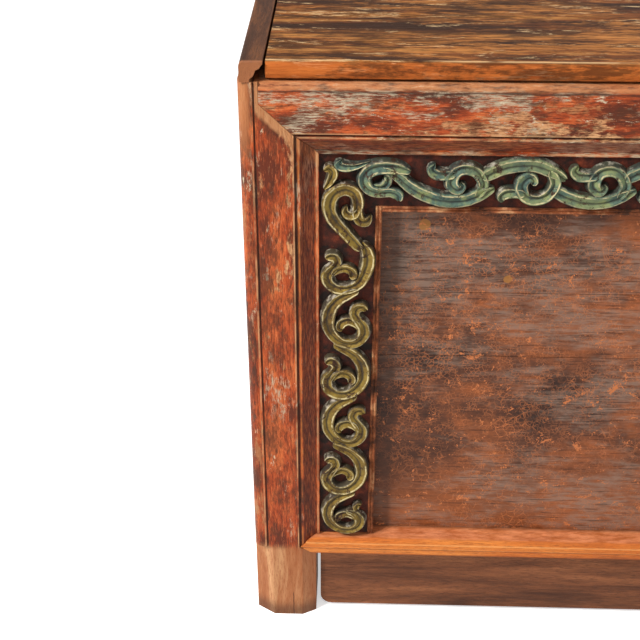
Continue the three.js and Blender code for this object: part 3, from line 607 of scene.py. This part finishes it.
def carved_ground_finish():
    finish = Finish("carved_ground", 8.8)
    # The ground runs from its own dark red down to near black, which is painted shade of the deep recess
    # between the strokes
    tones = finish.noise(finish.vector, 60.0, 5.0, 0.7)
    colour = finish.ramp(tones, [
        (0.4, tone(30, 20, 16)), (0.56, tone(72, 32, 22)), (0.74, tone(120, 54, 32))])
    patches = finish.flakes(45.0, 0.12, 0.02, (1, 1, 1), 3.0)
    colour = finish.mix(patches, colour, BARE_WOOD)
    return finish.finish(colour, 0.75, tones, 0.0008)


def inner_bead_finish():
    finish = Finish("inner_bead_wood", 12.5)
    tones = finish.noise(finish.vector, 42.0, 5.0, 0.7)
    colour = finish.ramp(tones, [(0.36, GRIME_AND_SHADE), (0.52, tone(140, 78, 46)), (0.7, BARE_PALE)])
    return finish.finish(colour, 0.6, tones, 0.0005)


def scroll_finish(name, seed, dark, main, leaf):
    """Carved scrolls: U runs across a stroke, with pale rims and a shaded channel."""
    finish = Finish(name, seed)
    uv = finish.add("ShaderNodeSeparateXYZ", inputs={"Vector": finish.uv})
    across = uv.outputs[0]
    wobble = finish.math("MULTIPLY", finish.math(
        "SUBTRACT", finish.noise(finish.vector, 130.0, 3.0), 0.5), 0.14)
    across = finish.math("ADD", across, wobble)
    from_middle = finish.math("ABSOLUTE", finish.math("SUBTRACT", across, 0.5))
    tones = finish.noise(finish.vector, 90.0, 4.0, 0.7)
    broad = finish.noise(finish.vector, 22.0, 3.0, 0.6)
    colour = finish.ramp(tones, [(0.36, dark), (0.5, main), (0.7, leaf)])
    colour = finish.mix(finish.spread(broad, 0.42, 0.62, 0.0, 0.55), colour, leaf)
    channel = finish.line(across, 0.46, 0.12)
    colour = finish.mix(finish.math("MULTIPLY", channel, 0.75), colour, SCROLL_SHADE)
    inner_wall = finish.spread(across, 0.24, 0.12)
    outer_wall = finish.spread(across, 0.9, 0.96)
    rim_marks = finish.spread(finish.noise(finish.vector, 110.0, 3.0), 0.34, 0.56)
    rim = finish.between(from_middle, 0.28, 0.36, 0.03)
    rim = finish.math("MULTIPLY", rim, rim_marks)
    colour = finish.mix(finish.math("MULTIPLY", rim, 0.85), colour, SCROLL_RIM)
    wall = finish.math("MAXIMUM", inner_wall, outer_wall)
    wall_tone = finish.mix(finish.spread(tones, 0.5, 0.7), SCROLL_SHADE, tone(170, 162, 150))
    colour = finish.mix(finish.math("MULTIPLY", wall, 0.85), colour, wall_tone)
    specks = finish.flakes(90.0, 0.36, 0.04, (1, 1, 1), 6.0)
    colour = finish.mix(specks, colour, GRIME_AND_SHADE)
    return finish.finish(colour, 0.55, tones, 0.0008)


# How much broader a stroke is carved than its drawn half width
BROADENING = 1.34


def stroke_samples(points, spacing=1.6):
    """Points along a smooth curve through the given ones; each is (across, up, half width)."""
    points = [(across, up, half * BROADENING) for across, up, half in points]
    samples = []
    last = len(points) - 1
    for index in range(last):
        before = points[max(index - 1, 0)]
        start, end = points[index], points[index + 1]
        after = points[min(index + 2, last)]
        length = math.hypot(end[0] - start[0], end[1] - start[1])
        steps = max(2, round(length / spacing))
        for step in range(steps):
            t = step / steps
            samples.append(tuple(
                0.5 * (2 * b + (c - a) * t + (2 * a - 5 * b + 4 * c - d) * t * t
                       + (3 * b - a - 3 * c + d) * t ** 3)
                for a, b, c, d in zip(before, start, end, after)))
    samples.append(tuple(points[-1]))
    return samples


# A stroke's cross-section: how far across it, and its height as a share of the relief
STROKE_SECTION = (
    (-1.0, 0.0), (-0.88, 0.42), (-0.72, 0.82), (-0.58, 0.95), (-0.36, 0.78), (-0.14, 0.58),
    (0.04, 0.66), (0.24, 0.82), (0.48, 0.86), (0.68, 1.0), (0.84, 0.97), (0.94, 0.66), (1.0, 0.0))


def add_stroke(mesh_data, points, relief, place):
    """Adds one closed carved stroke; place turns border millimetres into a point in metres."""
    verts, faces, uvs = mesh_data
    samples = stroke_samples(points)
    count = len(samples)
    travelled = [0.0]
    for first, second in zip(samples, samples[1:]):
        travelled.append(travelled[-1] + math.hypot(second[0] - first[0], second[1] - first[1]))
    total = travelled[-1]
    base = len(verts)
    ring = len(STROKE_SECTION) + 2
    for index, (across, up, half) in enumerate(samples):
        ahead = samples[min(index + 1, count - 1)]
        behind = samples[max(index - 1, 0)]
        run = (ahead[0] - behind[0], ahead[1] - behind[1])
        size = math.hypot(*run) or 1.0
        normal = (-run[1] / size, run[0] / size)
        reach = max(half, 0.3)
        to_end = min(travelled[index], total - travelled[index])
        rounding = math.sqrt(max(0.0, 1 - (1 - min(to_end / reach, 1.0)) ** 2))
        width = max(half * rounding, 0.15)
        height = relief * (0.35 + 0.65 * min(1.0, width / 3.5))
        for offset, share in STROKE_SECTION:
            verts.append(place(
                across + normal[0] * offset * width, up + normal[1] * offset * width, share * height))
            uvs.append(((offset + 1) / 2, travelled[index] * MM))
        for offset in (1.0, -1.0):
            verts.append(place(
                across + normal[0] * offset * width, up + normal[1] * offset * width, -0.6))
            uvs.append(((offset + 1) / 2, travelled[index] * MM))
    for index in range(count - 1):
        for side in range(ring):
            following = (side + 1) % ring
            low, high = base + index * ring, base + (index + 1) * ring
            faces.append((low + side, low + following, high + following, high + side))
    faces.append(tuple(base + side for side in reversed(range(ring))))
    faces.append(tuple(base + (count - 1) * ring + side for side in range(ring)))


def carved_piece(name, strokes, relief, place, material):
    mesh_data = ([], [], [])
    for order, stroke in enumerate(strokes):
        add_stroke(mesh_data, stroke, relief + 0.35 * (order % 3), place)
    verts, faces, uvs = mesh_data
    mesh = bpy.data.meshes.new(name)
    mesh.from_pydata(verts, [], faces)
    layer = mesh.uv_layers.new(name="UVMap")
    for loop in mesh.loops:
        layer.data[loop.index].uv = uvs[loop.vertex_index]
    mesh.polygons.foreach_set("use_smooth", [True] * len(mesh.polygons))
    mesh.update()
    fix_outward(mesh)
    mesh.materials.append(material)
    piece = bpy.data.objects.new(name, mesh)
    bpy.context.scene.collection.objects.link(piece)
    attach(piece, "carcass")
    return piece


def fix_outward(mesh):
    shape = bmesh.new()
    shape.from_mesh(mesh)
    bmesh.ops.recalc_face_normals(shape, faces=shape.faces)
    shape.to_mesh(mesh)
    shape.free()


# Side border, in millimetres from its outer lower corner. Each stroke point is
# (across, up, half width). The motif is drawn about its own middle, for a height of 70.
SIDE_MOTIF_HEIGHT = 70.0
SIDE_STEM = [
    (-13, 42, 3.0), (-3, 37, 4.8), (9, 29, 5.8), (17.5, 16, 6.6),
    (19.5, 0, 6.4), (15, -14, 6.0), (4, -24.5, 5.6),
    (-9, -25.5, 5.6), (-18, -17.5, 6.0), (-19.5, -6, 6.2), (-13.5, 4, 5.2), (-9.5, 12, 5.0),
    (-12, 19, 5.2), (-18, 20, 4.6), (-22, 15.5, 1.6)]
SIDE_COMMA = [
    (-15, -8, 1.8), (-11, -0.5, 3.8), (-2.5, 3.4, 4.6), (5, 0, 5.0), (6.5, -6.5, 4.4), (2.5, -9.5, 1.8)]
TOP_LOOP = [
    (44, 519, 4.6), (28, 538, 5.6), (14, 556, 6.4), (11, 571, 6.6), (16, 582, 6.6), (26, 587, 6.6),
    (35.5, 583, 6.2), (39, 573, 5.6), (38.5, 562, 5.0), (41, 553, 5.4), (48, 551.5, 5.2), (52.5, 558, 1.8)]
TOP_LOOP_COMMA = [(40, 566, 1.6), (37, 560.5, 3.6), (31, 559, 4.4), (27, 563, 3.6), (28, 568, 1.4)]
CORNER_LEAF = [(5, 606, 1.5), (10, 609.5, 4.0), (14, 605, 4.6), (11.5, 597, 4.0), (5, 586, 1.0)]
SECOND_STEM_START = [(44, 527, 3.0), (49, 517, 5.6), (50.5, 503, 6.4)]
LOWEST_LEAF = [(17, 8, 2.6), (14.5, 14, 3.6), (17.5, 19, 3.2), (21.5, 18, 1.4)]
# Heights at which one motif of the side border ends and the next begins
SIDE_STEPS = [523.0, 464.5, 395.0, 328.0, 259.0, 190.6]


def side_strokes():
    low = BORDER_LEFT[0].z / MM
    middle = (BORDER_LEFT[1].x - BORDER_LEFT[0].x) / MM / 2
    strokes = [CORNER_LEAF, TOP_LOOP, TOP_LOOP_COMMA]
    steps = SIDE_STEPS + [low + 1.0]
    for index, (top, bottom) in enumerate(zip(steps, steps[1:])):
        turn = 1 if index % 2 == 0 else -1
        centre = (top + bottom) / 2
        scale = (top - bottom) / SIDE_MOTIF_HEIGHT
        last = index == len(steps) - 2

        def put(point):
            across, up, half = point
            return (middle + turn * across, centre + scale * up, half * (0.5 + 0.5 * scale))

        stem = [put(point) for point in SIDE_STEM]
        if index == 0:
            stem = SECOND_STEM_START + stem[5:]
        if last:
            stem = [put(point) for point in SIDE_STEM[:10]] + [put((-12, 5, 4.6)), put((-2, 8, 2.6))]
            strokes.append([put((-x, y, half)) for x, y, half in LOWEST_LEAF])
        strokes.append(stem)
        strokes.append([put(point) for point in SIDE_COMMA])
    return strokes


# Top border, in millimetres: across from the post's inner edge, and up from the floor
START_SCROLL = [
    (91, 607, 2.4), (78, 611, 5.4), (62, 612, 6.2), (50, 608, 6.2), (44.5, 599, 6.0), (48, 589, 5.6),
    (58, 584, 5.2), (71, 584.5, 5.0), (79, 581, 5.0), (80, 574, 1.8)]
START_COMMA = [(53, 592, 1.8), (61, 590, 3.6), (67.5, 594, 4.2), (68, 600.5, 3.8), (64, 601.5, 1.6)]
TADPOLE = [(52, 617, 1.0), (37, 612.5, 2.6), (26, 611.5, 4.2), (20, 614.5, 4.2), (23, 618.5, 1.6)]
WAVE_STEM = [
    (62, 610, 3.0), (76, 603, 5.0), (91, 590, 6.0), (107, 581, 6.6), (124, 576, 6.8), (143, 576, 6.6),
    (159, 582, 6.2), (174, 590.5, 3.0)]
WAVE_RING = [
    (157, 581, 4.6), (163, 594, 5.0), (157, 606.5, 5.2), (147, 611.5, 5.2), (137, 609.5, 5.4),
    (131.5, 602, 5.8), (131.5, 593, 6.0), (138, 588, 5.2), (142.5, 592.5, 3.4), (139.5, 596, 1.4)]
WAVE_LEAF = [(135, 606, 4.4), (124, 604.5, 4.6), (115.5, 605.5, 5.0), (111, 610.5, 4.0), (114.5, 615.5, 1.4)]
WAVE_CENTRE = 147.0
WAVE_PITCH = 66.0
# What the last wave's ring keeps clear of the middle of the chest
MIDDLE_GAP = 22.0


def top_strokes():
    half_span = (BORDER_TOP[1].x - BORDER_TOP[0].x) / MM / 2
    middle = (BORDER_TOP[0].z + BORDER_TOP[1].z) / MM / 2
    strokes = [TADPOLE, START_SCROLL, START_COMMA]
    count = max(2, round((half_span - WAVE_CENTRE) / WAVE_PITCH))
    pitch = (half_span - WAVE_CENTRE - MIDDLE_GAP) / (count - 1)
    for index in range(count):
        turn = 1 if index % 2 == 0 else -1

        def put(point):
            return (point[0] + index * pitch, middle + turn * (point[1] - middle), point[2])

        stem = WAVE_STEM if index == 0 else WAVE_STEM[2:]
        for stroke in (stem, WAVE_LEAF, WAVE_RING):
            strokes.append([put(point) for point in stroke])
    return strokes


# How far the scrolls stand out of their ground, in millimetres
RELIEF = 8.0


def make_carving(olive, teal):
    inner = BORDER_LEFT[0].x

    for name, side in (("carved_scrolls_left", 1), ("carved_scrolls_right", -1)):
        def place(across, up, out, side=side):
            return (side * (inner + across * MM), GROUND - out * MM, up * MM)

        carved_piece(name, side_strokes(), RELIEF, place, olive)
        top_name = name.replace("scrolls", "scrolls_top")
        carved_piece(top_name, top_strokes(), RELIEF, place, teal)


def dress(material, *names):
    for name in names:
        slots = nodes[name].data.materials
        slots.clear()
        slots.append(material)


def dress_chest():
    dress(front_post_finish(), "front_post_left", "front_post_right")
    dress(top_rail_finish(), "front_top_rail")
    upright = carcass_paint("back_post_paint", ALONG_Z, 2.2)
    dress(upright, "back_post_left", "back_post_right")
    side_rail = carcass_paint("side_rail_paint", ALONG_Y, 6.4)
    dress(side_rail, *(f"side_{place}_rail_{side}"
                       for place in ("top", "bottom") for side in ("left", "right")))
    dress(bottom_rail_finish(), "front_bottom_rail")
    dress(top_board_finish("lid_wood", 9.4), "lid_front_board", "lid_rear_board")
    dress(top_board_finish("rear_top_wood", 11.9), "rear_top_board_1", "rear_top_board_2")
    dress(end_strip_finish(), "end_strip_left", "end_strip_right")
    dress(lacquer_finish("panel_lacquer", 3.6, True), "front_board_1", "front_board_2", "front_board_3")
    side_lacquer = lacquer_finish("side_lacquer", 5.9)
    dress(side_lacquer, *(f"side_board_{side}_{number}"
                          for side in ("left", "right") for number in (1, 2)))
    finish, colour, gloss, height = bare_wood(
        "apron_wood", ALONG_X, 13.7,
        [(0.3, tone(70, 40, 26)), (0.5, tone(126, 76, 48)), (0.7, tone(160, 102, 66))], (0.6, 0.75))
    # Painted shadow of the bottom rail across the apron's top
    shade = finish.spread(finish.z, APRON[1].z - 14 * MM, APRON[1].z, 0.0, 0.7)
    colour = finish.mix(shade, colour, GRIME_AND_SHADE)
    dress(finish.finish(colour, gloss, height), "front_apron")
    finish, colour, gloss, height = bare_wood(
        "side_apron_wood", ALONG_Y, 16.1,
        [(0.3, tone(70, 40, 26)), (0.5, tone(126, 76, 48)), (0.7, tone(160, 102, 66))], (0.6, 0.75))
    dress(finish.finish(colour, gloss, height), "side_apron_left", "side_apron_right")
    ground = carved_ground_finish()
    dress(ground, "carved_border_left", "carved_border_right", "carved_border_top")
    bead = inner_bead_finish()
    dress(bead, "inner_bead_left", "inner_bead_right", "inner_bead_top")
    raw_stops = [(0.3, RAW_DARK), (0.5, RAW_WOOD), (0.7, tone(186, 152, 108))]
    finish, colour, gloss, height = bare_wood("raw_wood_lengthwise", ALONG_X, 18.5, raw_stops, (0.75, 0.9))
    dress(finish.finish(colour, gloss, height),
          "back_board_1", "back_board_2", "back_board_3", "back_top_rail", "back_bottom_rail",
          "floor_board_1", "floor_board_2", "floor_board_3", "cross_rail",
          "lid_pin_left", "lid_pin_right")
    finish, colour, gloss, height = bare_wood("raw_wood_crosswise", ALONG_Y, 19.3, raw_stops, (0.75, 0.9))
    dress(finish.finish(colour, gloss, height),
          "floor_bearer_left", "floor_bearer_right", "lid_batten_left", "lid_batten_right")


def make_camera():
    data = bpy.data.cameras.new("camera")
    data.sensor_width = 36
    data.lens = CAMERA_LENS
    camera = bpy.data.objects.new("camera", data)
    forward = Vector((
        math.sin(CAMERA_YAW) * math.cos(CAMERA_PITCH),
        math.cos(CAMERA_YAW) * math.cos(CAMERA_PITCH),
        -math.sin(CAMERA_PITCH)))
    right = Vector((math.cos(CAMERA_YAW), -math.sin(CAMERA_YAW), 0))
    up = right.cross(forward)
    rolled_right = right * math.cos(CAMERA_ROLL) + up * math.sin(CAMERA_ROLL)
    rolled_up = up * math.cos(CAMERA_ROLL) - right * math.sin(CAMERA_ROLL)
    turn = Matrix((rolled_right, rolled_up, -forward)).transposed()
    camera.matrix_world = Matrix.Translation(CAMERA_PLACE) @ turn.to_4x4()
    bpy.context.scene.collection.objects.link(camera)
    bpy.context.scene.camera = camera


def add_lamp(name, place, aim, size, power, colour=(1, 1, 1)):
    data = bpy.data.lights.new(name, "AREA")
    data.size = size
    data.energy = power
    data.color = colour
    lamp = bpy.data.objects.new(name, data)
    lamp.location = place
    lamp.rotation_euler = (Vector(aim) - Vector(place)).to_track_quat("-Z", "Y").to_euler()
    bpy.context.scene.collection.objects.link(lamp)


def seen_directly(graph):
    """1 where a ray comes straight from the camera, a mirror or clear glass."""
    path = graph.add("ShaderNodeLightPath")
    seen = graph.math("MAXIMUM", path.outputs["Is Camera Ray"], path.outputs["Is Glossy Ray"])
    return graph.math("MAXIMUM", seen, path.outputs["Is Transmission Ray"])


def make_studio():
    world = bpy.data.worlds.new("studio")
    world.use_nodes = True
    bpy.context.scene.world = world
    graph = Graph(world.node_tree)
    background = world.node_tree.nodes["Background"]
    strength = graph.spread(seen_directly(graph), 0.0, 1.0, 0.36, 1.0)
    background.inputs["Color"].default_value = (1, 1, 1, 1)
    graph.feed(background.inputs["Strength"], strength)

    add_lamp("key", (-2.3, -1.35, 2.35), (-0.2, -0.2, 0.4), 0.7, 112, (1.0, 0.985, 0.96))
    add_lamp("fill", (1.2, -2.6, 1.6), (0.0, 0.0, 0.35), 2.4, 14)
    add_lamp("rear", (0.8, 2.2, 2.2), (0.0, 0.1, 0.4), 1.8, 14)

    mesh = bpy.data.meshes.new("floor")
    reach = 60.0
    mesh.from_pydata(
        [(-reach, -reach, 0), (reach, -reach, 0), (reach, reach, 0), (-reach, reach, 0)],
        [], [(0, 1, 2, 3)])
    floor = bpy.data.objects.new("floor", mesh)
    bpy.context.scene.collection.objects.link(floor)
    material = bpy.data.materials.new("pale_floor")
    material.use_nodes = True
    graph = Graph(material.node_tree)
    shader = material.node_tree.nodes["Principled BSDF"]
    dust = graph.noise(graph.add("ShaderNodeTexCoord").outputs["Object"], 30.0)
    graph.feed(shader.inputs["Base Color"], graph.ramp(dust, [
        (0.3, (0.86, 0.86, 0.86, 1)), (0.7, (0.9, 0.9, 0.9, 1))]))
    shader.inputs["Roughness"].default_value = 0.9
    shader.inputs["Emission Color"].default_value = (1, 1, 1, 1)
    graph.feed(shader.inputs["Emission Strength"], graph.math(
        "MULTIPLY", seen_directly(graph), 0.55))
    mesh.materials.append(material)


make_camera()
make_studio()
dress_chest()
make_carving(
    scroll_finish("scroll_olive_gold", 1.4, SCROLL_OLIVE_DARK, SCROLL_OLIVE, tone(146, 122, 54)),
    scroll_finish("scroll_blue_green", 2.7, tone(58, 76, 72), SCROLL_TEAL, SCROLL_LEAF))

bpy.context.scene.view_settings.view_transform = "Standard"
